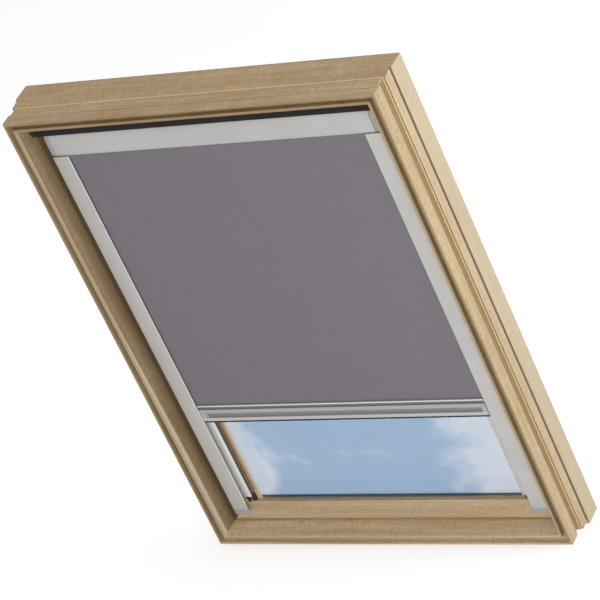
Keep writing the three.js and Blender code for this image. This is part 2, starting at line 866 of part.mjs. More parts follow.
addPair('control_bar_hinge', joined(hingeArm, hingeBoss, hingePin), 'steel');

// Side channels.
const faceBack = channelFace + channelSheet;
const webInner = channelWeb + channelWebThick;
const trackFront = channelBack - channelBackThick;
const channelFoot = sashBottom + channelFootRise;
const trackFoot = channelFoot + trackFootRise;
const channelOutline = [
  [channelOuter, sashFace - fit],
  [channelOuter, channelFace + channelRim / 2],
  [channelOuter + channelRim / 2, channelFace],
  [channelInner - channelRim / 2, channelFace],
  [channelInner, channelFace + channelRim / 2],
  [channelInner, faceBack + channelRim],
  [channelInner - channelSheet, faceBack + channelRim],
  [channelInner - channelSheet, faceBack],
  [webInner, faceBack],
  [webInner, trackFront],
  [trackInner - trackRimWidth, trackFront],
  [trackInner - trackRimWidth, trackFront - channelRim],
  [trackInner, trackFront - channelRim],
  [trackInner, channelBack],
  [channelWeb, channelBack],
  [channelWeb, faceBack],
  [channelOuter + channelSheet, faceBack],
  [channelOuter + channelSheet, sashFace - fit],
];
const channel = lengthOf(
  outlineShape(fromLeft(channelOutline)), alongZ, channelFoot, cassetteBottom - fit,
);
const trackCut = boxBetween(
  [channelWeb - fit - halfWidth, faceBack + channelRim + fit, channelFoot - fit],
  [trackInner + fit - halfWidth, channelBack + fit, trackFoot],
);
addPair('side_channel', cut(channel, trackCut), 'aluminium');

const capLow = channelFoot - fit - channelCapHeight;
const channelCapOutline = [
  [channelFoot - fit, channelOuter],
  [channelFoot - fit, channelInner],
  [capLow + channelCapCorner, channelInner],
  [capLow, channelInner - channelCapCorner],
  [capLow, channelOuter + channelCapCorner],
  [capLow + channelCapCorner, channelOuter],
].map(([height, inset]) => [height, inset - halfWidth]);
addPair('channel_cap', lengthOf(
  outlineShape(channelCapOutline), alongY, channelFace, sashFace - fit,
), 'cap');

// Clip under the track's foot, cut away towards its toe.
const clipTop = trackFoot - fit;
const clipOutline = [
  [clipTop, clipInset],
  [clipTop, clipInset + clipWidth],
  [clipTop - clipHeight, clipInset + clipToeStep + clipToeWidth],
  [clipTop - clipHeight, clipInset + clipToeStep],
].map(([height, inset]) => [height, inset - halfWidth]);
addPair('track_clip', lengthOf(
  outlineShape(clipOutline), alongY, channelRebate - fit - clipThick, channelRebate - fit,
), 'rubber');

// Cassette: a formed front cover, a back rail round the roller and two moulded end caps.
const cassetteSeat = sashFace - fit;
const cassetteForm = {
  front: cassetteFront,
  brow: [cassetteSeat - cassetteFront, cassetteBrow],
  chin: [cassetteMouthFront - cassetteFront, cassetteChin],
  low: cassetteBottom,
  high: cassetteTop,
  steps: noseSteps,
};
const cassetteEnd = halfWidth - cassetteInset;
addPiece('cassette_cover', lengthOf(outlineShape([
  ...roundedFront(cassetteForm, 0),
  ...roundedFront(cassetteForm, cassetteWall).reverse(),
]), alongX, -cassetteEnd, cassetteEnd), 'aluminium');
const railFront = cassetteBack - cassetteRailThick;
const railHalf = halfWidth - stileStep - fit;
addPiece('cassette_back_rail', lengthOf(outlineShape([
  [cassetteMouthBack, cassetteBottom],
  [cassetteBack, cassetteBottom],
  [cassetteBack, cassetteTop],
  [cassetteSeat + fit, cassetteTop],
  [cassetteSeat + fit, cassetteTop - cassetteRailThick],
  [railFront, cassetteTop - cassetteRailThick],
  [railFront, cassetteBottom + cassetteRailThick],
  [cassetteMouthBack, cassetteBottom + cassetteRailThick],
]), alongX, -railHalf, railHalf), 'aluminium');

const rollDepth = (cassetteFront + cassetteWall + railFront) / 2;
const rollHeight = cassetteBottom + rollRise;
const rollRadius = railFront - rollDepth - rollPlay;
const rollAxis = [rollDepth, rollHeight];
const bracketStart = stileStep + fit;
const bracketInner = bracketStart + bracketThick;
const bracketLow = cassetteBottom + bracketRise;
const bracketHigh = bracketLow + bracketHeight;
const capPlate = lengthOf(outlineShape([
  ...roundedFront(cassetteForm, cassettePlateStep),
  [cassetteSeat, cassetteBottom + cassettePlateStep],
]), alongX, cassettePlateInset - halfWidth, cassetteInset - fit - halfWidth);
const plateMiddle = (cassettePlateInset + cassetteInset) / 2;
const capTongue = boxBetween(
  [plateMiddle - halfWidth, bracketFront, bracketLow],
  [bracketInner - halfWidth, cassetteSeat, bracketHigh],
);
const capBracket = boxBetween(
  [bracketStart - halfWidth, bracketFront, bracketLow],
  [bracketInner - halfWidth, railFront - fit, bracketHigh],
);
const axle = lengthOf(
  outlineShape(circle(axleRadius, rollAxis, pinSteps)),
  alongX, bracketStart - halfWidth, bracketInner + axleReach - halfWidth,
);
addPair('cassette_cap', joined(capPlate, capTongue, capBracket, axle), 'cap');

// Spring roller with the fabric wound on it.
const plugStart = bracketInner + plugPlay;
const plugShoulder = tubeInset - fit;
const tubeBore = tubeRadius - tubeWall;
const plugRadius = tubeBore - fit;
const plugBore = axleRadius + fit;
const plug = turnedAcross([
  [plugStart, plugBore],
  [plugStart, plugFlangeRadius],
  [plugShoulder, plugFlangeRadius],
  [plugShoulder, plugRadius],
  [plugShoulder + plugLength, plugRadius],
  [plugShoulder + plugLength, plugBore],
], rollDepth, rollHeight);
addPair('roller_plug', plug, 'cap');
addPiece('roller_tube', turnedAcross([
  [tubeInset, tubeBore],
  [tubeInset, tubeRadius],
  [lipWidth - tubeInset, tubeRadius],
  [lipWidth - tubeInset, tubeBore],
], rollDepth, rollHeight), 'steel');
addPiece('fabric_roll', turnedAcross([
  [rollInset, tubeRadius + fit],
  [rollInset, rollRadius],
  [lipWidth - rollInset, rollRadius],
  [lipWidth - rollInset, tubeRadius + fit],
], rollDepth, rollHeight), 'fabric');

const shaftStart = bracketInner + axleReach + fit;
addPiece('spring_shaft', turnedAcross([
  [shaftStart, 0],
  [shaftStart, shaftRadius],
  [shaftEndInset, shaftRadius],
  [shaftEndInset, 0],
], rollDepth, rollHeight, pinSteps), 'steel');

class CoilCurve extends THREE.Curve {
  getPoint(share, target = new THREE.Vector3()) {
    const angle = 2 * Math.PI * springTurns * share;
    const radius = tubeBore - fit - wireRadius;
    return target.set(
      springInset + springLength * share - halfWidth,
      rollDepth + radius * Math.cos(angle),
      rollHeight + radius * Math.sin(angle),
    );
  }
}
const coil = new THREE.ExtrudeGeometry(outlineShape(circle(wireRadius, [0, 0], wireSides)), {
  steps: springTurns * springStepsPerTurn,
  extrudePath: new CoilCurve(),
  bevelEnabled: false,
});
addPiece('roller_spring', outward(coil), 'steel');

// Blind fabric: tangent to the roll at the back, over the cassette's mouth, then straight down.
const fabricEnd = halfWidth - rollInset;
const fabricHalf = fabricThickness / 2;
const mouthHeight = cassetteBottom + cassetteRailThick;
const fabricLow = barTop - fabricPocket;
const windRadius = rollRadius + fit + fabricHalf;
const mouthReach = Math.hypot(fabricDepth - rollDepth, mouthHeight - rollHeight);
const mouthAngle = Math.atan2(mouthHeight - rollHeight, fabricDepth - rollDepth);
const leaveAngle = mouthAngle + Math.acos(windRadius / mouthReach);
const leavePoint = (radius) => [
  rollDepth + radius * Math.cos(leaveAngle),
  rollHeight + radius * Math.sin(leaveAngle),
];
const fabricOutline = [
  leavePoint(windRadius - fabricHalf),
  [fabricDepth - fabricHalf, mouthHeight],
  [fabricDepth - fabricHalf, fabricLow],
  [fabricDepth + fabricHalf, fabricLow],
  [fabricDepth + fabricHalf, mouthHeight],
  leavePoint(windRadius + fabricHalf),
];
addPiece('blind_fabric', lengthOf(outlineShape(fabricOutline), alongX, -fabricEnd, fabricEnd), 'fabric');

// Bottom bar with a bead, a shadow groove, a finger recess and a slot for the fabric.
const slotFront = fabricDepth - barSlot;
const slotBack = fabricDepth + barSlot;
const beadCentre = [barFace + beadRadius + barEdge, barTop - beadRadius];
const grooveHigh = barTop - grooveDrop;
const grooveLow = grooveHigh - grooveHeight;
const recessTop = barTop - recessDrop;
const recessBottom = recessTop - recessHeight;
const barOutline = [
  [slotFront, barTop],
  ...arc(beadCentre, [beadRadius, beadRadius], quarterTurn, halfTurn + quarterTurn, noseSteps),
  [barFace + grooveDeep, grooveHigh],
  [barFace + grooveDeep, grooveLow],
  [barFace + barEdge, grooveLow],
  [barFace, grooveLow - barEdge],
  [barFace, barTop - bandDrop],
  [barFace + barEdge, recessTop],
  [barFace + barEdge, recessBottom],
  [barFace, recessBottom - recessChin],
  [barFace, barBottom + barEdge],
  [barFace + barEdge, barBottom],
  [barBack - barEdge, barBottom],
  [barBack, barBottom + barEdge],
  [barBack, barTop - barEdge],
  [barBack - barEdge / 2, barTop],
  [slotBack, barTop],
  [slotBack, barTop - barSlotDeep],
  [slotFront, barTop - barSlotDeep],
];
const barHalf = halfWidth - barEndInset;
const barBody = lengthOf(outlineShape(barOutline), alongX, -barHalf, barHalf);
const recessOutline = [
  [barFace - barEdge, recessTop + fit],
  [barFace + barEdge, recessTop],
  [barFace + recessTopDeep, recessTop - barEdge],
  [barFace + recessDeep, recessBottom + barEdge],
  [barFace + barEdge, recessBottom],
  [barFace - barEdge, recessBottom - recessChin],
];
const recessReach = ([depth]) => barHalf - recessEndInset - (recessSlant * (depth - barFace)) / recessDeep;
const recessTool = solidBetween(
  recessOutline.map((point) => [-recessReach(point), ...point]),
  recessOutline.map((point) => [recessReach(point), ...point]),
  recessOutline,
);
addPiece('bottom_bar', cut(barBody, recessTool), 'aluminium');

const gliderInner = barEndInset - fit;
const gliderFront = faceBack + channelRim + fit;
const gliderBottom = barBottom + gliderRise;
const gliderOutline = [
  [gliderInner - gliderWidth, gliderFront + barEdge],
  [gliderInner - gliderWidth + barEdge, gliderFront],
  [gliderInner, gliderFront],
  [gliderInner, gliderFront + gliderDepth],
  [gliderInner - gliderWidth + barEdge, gliderFront + gliderDepth],
  [gliderInner - gliderWidth, gliderFront + gliderDepth - barEdge],
];
addPair('bar_glider', lengthOf(
  outlineShape(fromLeft(gliderOutline)), alongZ, gliderBottom, gliderBottom + gliderHeight,
), 'rubber');

// Brush seal under the bar: three-sided strands rooted in a flat backing strip.
const brushTop = barBottom - fit;
const brushDepth = barFace + brushSetback + brushBackingWidth / 2;
const brushEnd = barHalf - fit;
const backing = boxBetween(
  [-brushEnd, brushDepth - brushBackingWidth / 2, brushTop - brushBackingThick],
  [brushEnd, brushDepth + brushBackingWidth / 2, brushTop],
);
function strandDraw(index, share) {
  return (index * share) % 1;
}
const strands = Array.from({ length: brushStrands }, (_, index) => {
  const pitch = (2 * brushEnd) / (brushStrands + 1);
  const rootX = -brushEnd + pitch * (index + 1);
  const rootY = brushDepth + (index % 2 ? strandRow : -strandRow) / 2;
  const rootZ = brushTop - brushBackingThick + brushRoot;
  const length = brushLength - brushLengthSpread * strandDraw(index, strandLengthShare);
  const leanX = strandLean * (2 * strandDraw(index, strandLeanShare) - 1);
  const section = circle(strandRadius, [0, 0], strandSides);
  return solidBetween(
    section.map(([a, b]) => [rootX + a, rootY + b, rootZ]),
    section.map(([a, b]) => [rootX + leanX + a, rootY + b, rootZ - length]),
    section,
  );
});
addPiece('brush_seal', joined(backing, ...strands), 'bristle');

// The origin is at the middle of the frame's lowest edge, halfway through the whole depth.
const totalDepth = frameDepth + fit + coverRise;
assembly.position.set(0, -totalDepth / 2, sillSide.backOut);

const skylightWindowBlind = new THREE.Group();
skylightWindowBlind.add(assembly);

export default skylightWindowBlind;
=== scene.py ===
import math
import random

import bmesh
import bpy
from mathutils import Matrix, Vector


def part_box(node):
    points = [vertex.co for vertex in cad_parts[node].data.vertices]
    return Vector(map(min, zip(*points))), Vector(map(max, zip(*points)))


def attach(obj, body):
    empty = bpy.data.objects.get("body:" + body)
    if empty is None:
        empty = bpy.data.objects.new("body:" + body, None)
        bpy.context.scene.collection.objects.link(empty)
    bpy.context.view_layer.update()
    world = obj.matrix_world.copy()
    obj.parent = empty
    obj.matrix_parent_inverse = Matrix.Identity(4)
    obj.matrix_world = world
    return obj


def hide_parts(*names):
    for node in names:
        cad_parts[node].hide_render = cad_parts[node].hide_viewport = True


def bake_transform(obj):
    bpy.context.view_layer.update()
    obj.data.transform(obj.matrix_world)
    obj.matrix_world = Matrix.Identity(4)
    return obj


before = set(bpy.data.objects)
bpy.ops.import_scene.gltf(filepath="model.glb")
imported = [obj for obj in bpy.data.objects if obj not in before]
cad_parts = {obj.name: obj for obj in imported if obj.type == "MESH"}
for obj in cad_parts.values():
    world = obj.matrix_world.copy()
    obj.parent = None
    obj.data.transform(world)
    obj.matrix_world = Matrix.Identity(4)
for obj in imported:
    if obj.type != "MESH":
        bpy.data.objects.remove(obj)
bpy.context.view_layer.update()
print("frame loaded")

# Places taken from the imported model, in metres.
barLow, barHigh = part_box("bottom_bar")
fabricLow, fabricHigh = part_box("blind_fabric")
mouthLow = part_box("cassette_back_rail")[0]
rollLow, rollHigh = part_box("fabric_roll")
tubeLow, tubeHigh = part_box("roller_tube")
brushLow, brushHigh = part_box("brush_seal")
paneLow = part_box("inner_pane")[0]
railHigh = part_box("sash_bottom_rail")[1]
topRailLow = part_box("sash_top_rail")[0]
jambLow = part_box("frame_jamb_left")[0]
lipBox = {"halfWidth": 0.3845, "low": 0.0115, "high": 1.0435, "front": jambLow.y}


def displayColour(red, green, blue):
    def linear(value):
        share = value / 255
        return share / 12.92 if share <= 0.04045 else ((share + 0.055) / 1.055) ** 2.4

    return (linear(red), linear(green), linear(blue), 1.0)


def grey(level):
    return (level, level, level, 1.0)


def tinted(colour, share):
    return tuple(min(1.0, share * value) for value in colour[:3]) + (1.0,)


class Shader:
    def __init__(self, name):
        self.material = bpy.data.materials.new(name)
        self.material.use_nodes = True
        self.nodes = self.material.node_tree.nodes
        self.links = self.material.node_tree.links
        self.nodes.clear()
        output = self.nodes.new("ShaderNodeOutputMaterial")
        self.surface = self.nodes.new("ShaderNodeBsdfPrincipled")
        self.links.new(self.surface.outputs["BSDF"], output.inputs["Surface"])
        self.place = self.nodes.new("ShaderNodeTexCoord").outputs["Object"]

    def put(self, target, value):
        if isinstance(value, bpy.types.NodeSocket):
            self.links.new(value, target)
        else:
            target.default_value = value

    def mapped(self, scale, location=(0, 0, 0), rotation=(0, 0, 0)):
        node = self.nodes.new("ShaderNodeMapping")
        self.put(node.inputs["Vector"], self.place)
        node.inputs["Scale"].default_value = scale
        node.inputs["Location"].default_value = location
        node.inputs["Rotation"].default_value = rotation
        return node.outputs["Vector"]

    # Places stretched along one axis, so that a pattern on them runs with the piece.
    def along(self, axis, share, location=(0, 0, 0)):
        scale = [1.0, 1.0, 1.0]
        scale["XYZ".index(axis)] = share
        return self.mapped(scale, location)

    def noise(self, vector, scale, detail=3, roughness=0.5, distortion=0):
        node = self.nodes.new("ShaderNodeTexNoise")
        self.put(node.inputs["Vector"], vector)
        node.inputs["Scale"].default_value = scale
        node.inputs["Detail"].default_value = detail
        node.inputs["Roughness"].default_value = roughness
        node.inputs["Distortion"].default_value = distortion
        return node.outputs["Fac"]

    def bands(self, axis, scale, distortion, detail):
        node = self.nodes.new("ShaderNodeTexWave")
        node.wave_type = "BANDS"
        node.bands_direction = axis
        self.put(node.inputs["Vector"], self.place)
        node.inputs["Scale"].default_value = scale
        node.inputs["Distortion"].default_value = distortion
        node.inputs["Detail"].default_value = detail
        return node.outputs["Fac"]

    def ramp(self, value, span, first, second):
        node = self.nodes.new("ShaderNodeValToRGB")
        self.put(node.inputs["Fac"], value)
        for element, position, colour in zip(node.color_ramp.elements, span, (first, second)):
            element.position = position
            element.color = colour
        return node.outputs["Color"]

    # The share that a value has on its way through a span, held at both ends.
    def level(self, value, shares, span=(0.0, 1.0)):
        node = self.nodes.new("ShaderNodeMapRange")
        self.put(node.inputs["Value"], value)
        node.inputs["From Min"].default_value = span[0]
        node.inputs["From Max"].default_value = span[1]
        node.inputs["To Min"].default_value = shares[0]
        node.inputs["To Max"].default_value = shares[1]
        return node.outputs["Result"]

    def rising(self, value, span):
        return self.level(value, (0.0, 1.0), span)

    def falling(self, value, span):
        return self.level(value, (1.0, 0.0), span)

    def mix(self, share, first, second):
        node = self.nodes.new("ShaderNodeMix")
        node.data_type = "RGBA"
        self.put(node.inputs["Factor"], share)
        self.put(node.inputs["A"], first)
        self.put(node.inputs["B"], second)
        return node.outputs["Result"]

    def reckon(self, operation, first, second=0.0):
        node = self.nodes.new("ShaderNodeMath")
        node.operation = operation
        self.put(node.inputs[0], first)
        self.put(node.inputs[1], second)
        return node.outputs["Value"]

    def plus(self, first, second):
        return self.reckon("ADD", first, second)

    def less(self, first, second):
        return self.reckon("SUBTRACT", first, second)

    def times(self, first, second):
        return self.reckon("MULTIPLY", first, second)

    def larger(self, first, second):
        return self.reckon("MAXIMUM", first, second)

    def smaller(self, first, second):
        return self.reckon("MINIMUM", first, second)

    def parts(self):
        node = self.nodes.new("ShaderNodeSeparateXYZ")
        self.put(node.inputs["Vector"], self.place)
        return node.outputs

    def within(self, value, span, soft):
        low, high = span
        return self.times(self.rising(value, (low - soft, low)), self.falling(value, (high, high + soft)))

    # One area of a section: a stretch of inset by a stretch of depth.
    def area(self, inset, depth, sizes):
        insetSoft, depthSoft = sizes["soft"]
        across = self.within(inset, sizes["inset"], insetSoft)
        return self.times(across, self.within(depth, sizes["depth"], depthSoft))

    def toned(self, colour, mask, sizes):
        return self.mix(self.level(mask, (0.0, sizes["share"])), colour, sizes["tone"])

    def bump(self, height, strength, distance):
        node = self.nodes.new("ShaderNodeBump")
        node.inputs["Strength"].default_value = strength
        node.inputs["Distance"].default_value = distance
        self.put(node.inputs["Height"], height)
        self.links.new(node.outputs["Normal"], self.surface.inputs["Normal"])

    def finish(self, colour, roughness, metallic=0.0):
        self.put(self.surface.inputs["Base Color"], colour)
        self.put(self.surface.inputs["Roughness"], roughness)
        self.surface.inputs["Metallic"].default_value = metallic
        return self.material


cornerBlend = 0.0002  # how wide the change from a jamb to the head or sill is


# Places in the frame's moulded section, in metres: how far in from the lip's edge, how deep, and
# whether the nearest side is a jamb.
def sectionPlace(shader):
    x, y, z = [shader.parts()[axis] for axis in "XYZ"]
    sideways = shader.less(lipBox["halfWidth"], shader.reckon("ABSOLUTE", x))
    endways = shader.smaller(shader.less(z, lipBox["low"]), shader.less(lipBox["high"], z))
    jamb = shader.rising(shader.less(endways, sideways), (-cornerBlend, cornerBlend))
    return shader.smaller(sideways, endways), shader.less(y, lipBox["front"]), jamb


# Tones in the frame's section. Inset, depth, heights and softness are in metres.
frameWood = {
    # Painted shade in the lining groove.
    "groove": {
        "wall": {"inset": (0.0080, 0.0196), "depth": (0.0014, 0.0106), "soft": (0.0003, 0.0006)},
        "floor": {"inset": (0.0048, 0.0196), "depth": (0.0093, 0.0106), "soft": (0.0003, 0.0003)},
        "shares": (0.2, 0.6),  # on the head and sill, on the jambs
        "tone": displayColour(134, 106, 68),
    },
    # Painted shade on the rebate's floor.
    "rebateFloor": {
        "inset": (0.0030, 0.0046),
        "depth": (0.0274, 0.0456),
        "soft": (0.0006, 0.0006),
        "share": 0.85,
        "tone": displayColour(134, 107, 68),
    },
    # Painted light on the rebate's back.
    "rebateBack": {
        "inset": (-0.0030, 0.0042),
        "depth": (0.0463, 0.0470),
        "soft": (0.0003, 0.0002),
        "share": 0.85,
        "tone": displayColour(246, 224, 182),
    },
    # A painted pool of light at the front of the jambs' inner walls, wider low down.
    "paleStrip": {
        "heights": (0.24, 0.62),
        "reach": (0.0118, 0.0036),  # how deep it goes at each of the heights
        "fade": (-0.0016, 0.0012),
        "start": (0.0142, 0.0150),
        "wall": (0.0196, 0.0204),
        "wallShares": (0.2, 0.95),  # on the lip, on the wall behind it
        "tone": displayColour(244, 226, 194),
    },
    # Painted shade growing towards the back of the jambs' inner walls.
    "innerWall": {
        "inset": (0.0194, 0.0199),
        "depth": (0.004, 0.040),
        "share": 0.58,
        "tone": displayColour(116, 91, 58),
    },
    "outside": {
        "inset": (0.0008, 0.0020),
        "depth": (0.05, 0.08),
        "depthShares": (0.3, 1.0),
        "share": 0.62,
        "tone": displayColour(190, 179, 156),
    },
    # A painted shadow line along the jambs' shadow groove.
    "shadowLine": {
        "inset": (0.0012, 0.0016),
        "depth": (0.0670, 0.0694),
        "soft": 0.0003,
        "share": 0.6,
        "tone": displayColour(104, 80, 46),
    },
}


def paleStripMask(shader, inset, depth, jamb):
    strip = frameWood["paleStrip"]
    reach = shader.level(shader.parts()["Z"], strip["reach"], strip["heights"])
    front = shader.falling(shader.less(depth, reach), strip["fade"])
    mask = shader.times(shader.times(shader.rising(inset, strip["start"]), front), jamb)
    return shader.times(mask, shader.level(inset, strip["wallShares"], strip["wall"]))


# Frame wood has painted shade in its grooves, on the rebate's floor and in a line along the jambs'
# shadow groove, and painted light on the rebate's back. The jambs' inner walls have a painted pool
# of light in front, wider low down, and grow browner towards the back with painted shade.
def frameTones(shader, colour, paleOutside=False):
    inset, depth, jamb = sectionPlace(shader)
    sizes = frameWood["groove"]
    groove = shader.larger(
        shader.area(inset, depth, sizes["wall"]), shader.area(inset, depth, sizes["floor"])
    )
    colour = shader.mix(shader.times(groove, shader.level(jamb, sizes["shares"])), colour, sizes["tone"])
    for rebate in ("rebateFloor", "rebateBack"):
        colour = shader.toned(colour, shader.area(inset, depth, frameWood[rebate]), frameWood[rebate])
    strip = paleStripMask(shader, inset, depth, jamb)
    colour = shader.mix(strip, colour, frameWood["paleStrip"]["tone"])
    sizes = frameWood["innerWall"]
    inner = shader.times(shader.rising(inset, sizes["inset"]), shader.rising(depth, sizes["depth"]))
    colour = shader.toned(colour, shader.times(inner, jamb), sizes)
    if paleOutside:
        sizes = frameWood["outside"]
        deeper = shader.level(depth, sizes["depthShares"], sizes["depth"])
        skin = shader.times(shader.falling(inset, sizes["inset"]), deeper)
        colour = shader.toned(colour, skin, sizes)
    sizes = frameWood["shadowLine"]
    line = shader.within(depth, sizes["depth"], sizes["soft"])
    line = shader.times(shader.falling(inset, sizes["inset"]), line)
    return shader.toned(colour, shader.times(line, jamb), sizes)


def jambTones(shader, colour):
    return frameTones(shader, colour, paleOutside=True)


# Sash wood has painted shade, deep brown, in the gap beside each channel, is warmer on the slope down
# to the glass and has a painted highlight on the slope's last edge.
sashWood = {
    # Painted shade in the gap beside each channel.
    "gap": {
        "inset": (0.0268, 0.0418),
        "depth": (0.0380, 0.0470),
        "soft": (0.0002, 0.0004),
        "share": 0.95,
        "tone": displayColour(78, 62, 42),
    },
    "slope": {
        "inset": (0.0890, 0.0968),
        "depth": (0.0405, 0.0592),
        "soft": (0.0004, 0.0004),
        "share": 0.6,
        "tone": displayColour(184, 138, 94),
    },
    # A painted highlight on the slope's last edge by the glass.
    "glassEdge": {
        "inset": (0.0964, 0.0978),
        "depth": (0.0570, 0.0600),
        "soft": (0.0001, 0.0003),
        "share": 0.8,
        "tone": displayColour(232, 220, 200),
    },
}


def sashTones(shader, colour):
    inset, depth, jamb = sectionPlace(shader)
    for sizes in sashWood.values():
        colour = shader.toned(colour, shader.times(shader.area(inset, depth, sizes), jamb), sizes)
    return colour


# Pine: faint growth bands, with fibres, streaks, clouds, slanting hairlines and flecks laid over
# them in this order. A layer with no tone of its own takes the wood's dark one.
pineGrain = {
    "bandStretch": 0.05,
    "bands": {"scale": 75, "detail": 3, "roughness": 0.55, "distortion": 0.6},
    "bandSpan": (0.38, 0.66),
    "fibreStretch": 0.02,
    "hairStretch": 0.09,
    "hairTurn": (0.3, 0.1, 0.35),
    "fleckStretch": 0.3,
    "bandHeight": 0.4,
    "bump": {"strength": 0.3, "distance": 0.0003},
    "shine": 0.3,
    "roughness": (0.5, 0.7),
}
pineLayers = {
    "streaks": {
        "pattern": {"scale": 260, "detail": 3, "roughness": 0.55},
        "shares": (0.0, 0.4),
        "span": (0.4, 0.72),
    },
    "fibres": {
        "pattern": {"scale": 1300, "detail": 4, "roughness": 0.62},
        "shares": (0.0, 0.3),
        "span": (0.45, 0.75),
        "tone": displayColour(126, 98, 64),
    },
    "clouds": {
        "pattern": {"scale": 5.5, "detail": 3, "roughness": 0.55},
        "shares": (0.0, 0.22),
        "span": (0.38, 0.68),
        "tone": displayColour(206, 192, 168),
    },
    "hairs": {
        "pattern": {"scale": 330, "detail": 2, "roughness": 0.6},
        "shares": (0.0, 0.36),
        "span": (0.56, 0.68),
        "tone": displayColour(118, 90, 56),
    },
    "paleHairs": {
        "pattern": {"scale": 410, "detail": 2, "roughness": 0.6},
        "shares": (0.0, 0.3),
        "span": (0.56, 0.68),
        "tone": displayColour(222, 204, 172),
    },
    "flecks": {
        "pattern": {"scale": 300, "detail": 2, "roughness": 0.5},
        "shares": (0.0, 0.45),
        "span": (0.7, 0.8),
        "tone": displayColour(104, 78, 48),
    },
}


def pine(name, axis, pale, dark, shift, tones):
    shader = Shader(name)
    fibrePlace = shader.along(axis, pineGrain["fibreStretch"], (shift, 0.3, 0.7))
    hairScale = (1.0, pineGrain["hairStretch"], 1.0)
    hairPlace = shader.mapped(hairScale, (shift, 0.4, 0.1), pineGrain["hairTurn"])
    places = {
        "streaks": fibrePlace,
        "fibres": fibrePlace,
        "clouds": shader.mapped((1, 1, 1), (0, shift, 0)),
        "hairs": hairPlace,
        "paleHairs": hairPlace,
        "flecks": shader.along(axis, pineGrain["fleckStretch"], (0.2, shift, 0.4)),
    }
    bandPlace = shader.along(axis, pineGrain["bandStretch"], (0.11, shift, 0.09))
    bands = shader.noise(bandPlace, **pineGrain["bands"])
    colour = shader.ramp(bands, pineGrain["bandSpan"], pale, dark)
    patterns = {}
    for kind, layer in pineLayers.items():
        patterns[kind] = shader.noise(places[kind], **layer["pattern"])
        share = shader.level(patterns[kind], layer["shares"], layer["span"])
        colour = shader.mix(share, colour, layer.get("tone", dark))
    colour = tones(shader, colour)
    raised = shader.level(bands, (0.0, pineGrain["bandHeight"]))
    shader.bump(shader.plus(patterns["fibres"], raised), **pineGrain["bump"])
    shader.surface.inputs["Specular IOR Level"].default_value = pineGrain["shine"]
    return shader.finish(colour, shader.level(patterns["fibres"], pineGrain["roughness"]))


# Extruded aluminium: a satin skin with fine die lines along its length, clouded where asked.
metalSkin = {
    "stretch": 0.004,
    "lines": {"scale": 2400, "detail": 2, "roughness": 0.6},
    "lineShares": (0.0, 0.35),
    "clouds": {"scale": 14, "detail": 3, "roughness": 0.5},
    "cloudShares": (0.0, 0.5),
    "span": (0.35, 0.7),
    "darker": 0.82,
    "paler": 1.12,
    "bump": {"strength": 0.12, "distance": 0.0001},
}
satin = {"roughness": (0.36, 0.5), "metallic": 0.35}
millFinish = {"roughness": (0.3, 0.45), "metallic": 0.7}
powderCoat = {"roughness": (0.5, 0.65), "metallic": 0.0, "shine": 0.15}


def dieLined(shader, axis, base, clouded=True):
    lines = shader.noise(shader.along(axis, metalSkin["stretch"]), **metalSkin["lines"])
    share = shader.level(lines, metalSkin["lineShares"], metalSkin["span"])
    colour = shader.mix(share, base, tinted(base, metalSkin["darker"]))
    if clouded:
        clouds = shader.noise(shader.place, **metalSkin["clouds"])
        share = shader.level(clouds, metalSkin["cloudShares"], metalSkin["span"])
        colour = shader.mix(share, colour, tinted(base, metalSkin["paler"]))
    shader.bump(lines, **metalSkin["bump"])
    return colour, lines


def extruded(name, axis, base, roughness, metallic, shine=0.5):
    shader = Shader(name)
    colour, lines = dieLined(shader, axis, base)
    shader.surface.inputs["Specular IOR Level"].default_value = shine
    return shader.finish(colour, shader.level(lines, roughness), metallic)


# The left side channel has painted highlights along its inner edge and painted light on its inner
# track and a little on its foot.
channelTones = {
    "edge": (0.0742, 0.0752),
    "soft": 0.0002,
    "track": (0.0753, 0.0756),
    "trackShare": 0.75,
    "foot": (0.0818, 0.0824),
    "footShare": 0.25,
    "middle": (-0.01, 0.01),
    "tone": displayColour(248, 247, 245),
}


def channelSkin(name, base):
    shader = Shader(name)
    colour, lines = dieLined(shader, "Z", base)
    inset = sectionPlace(shader)[0]
    edge = shader.within(inset, channelTones["edge"], channelTones["soft"])
    track = shader.level(inset, (0.0, channelTones["trackShare"]), channelTones["track"])
    foot = shader.level(inset, (0.0, channelTones["footShare"]), channelTones["foot"])
    left = shader.falling(shader.parts()["X"], channelTones["middle"])
    bright = shader.times(shader.larger(edge, shader.plus(track, foot)), left)
    colour = shader.mix(bright, colour, channelTones["tone"])
    return shader.finish(colour, shader.level(lines, satin["roughness"]), satin["metallic"])


# The bottom bar has a painted highlight on its bead, a little painted light on its chin, and painted
# shade in its groove and finger recess. Drop is counted from the bar's top, depth from its face.
barTones = {
    # Painted shade in the groove.
    "groove": {"drop": (0.0034, 0.0088), "soft": 0.0003, "depth": (0.0006, 0.0016), "share": 0.2},
    "grooveTone": displayColour(84, 83, 82),
    # A painted highlight on the bead and a little painted light on the chin.
    "bead": (0.0030, 0.0034),
    "chin": (0.0300, 0.0304),
    "chinShare": 0.25,
    "brightTone": displayColour(246, 245, 243),
    # Painted shade in the finger recess.
    "recess": {"drop": (0.019, 0.029), "shares": (0.62, 0.25), "depth": (0.0008, 0.0022)},
    "recessTone": displayColour(96, 96, 95),
    "shine": 0.4,
}


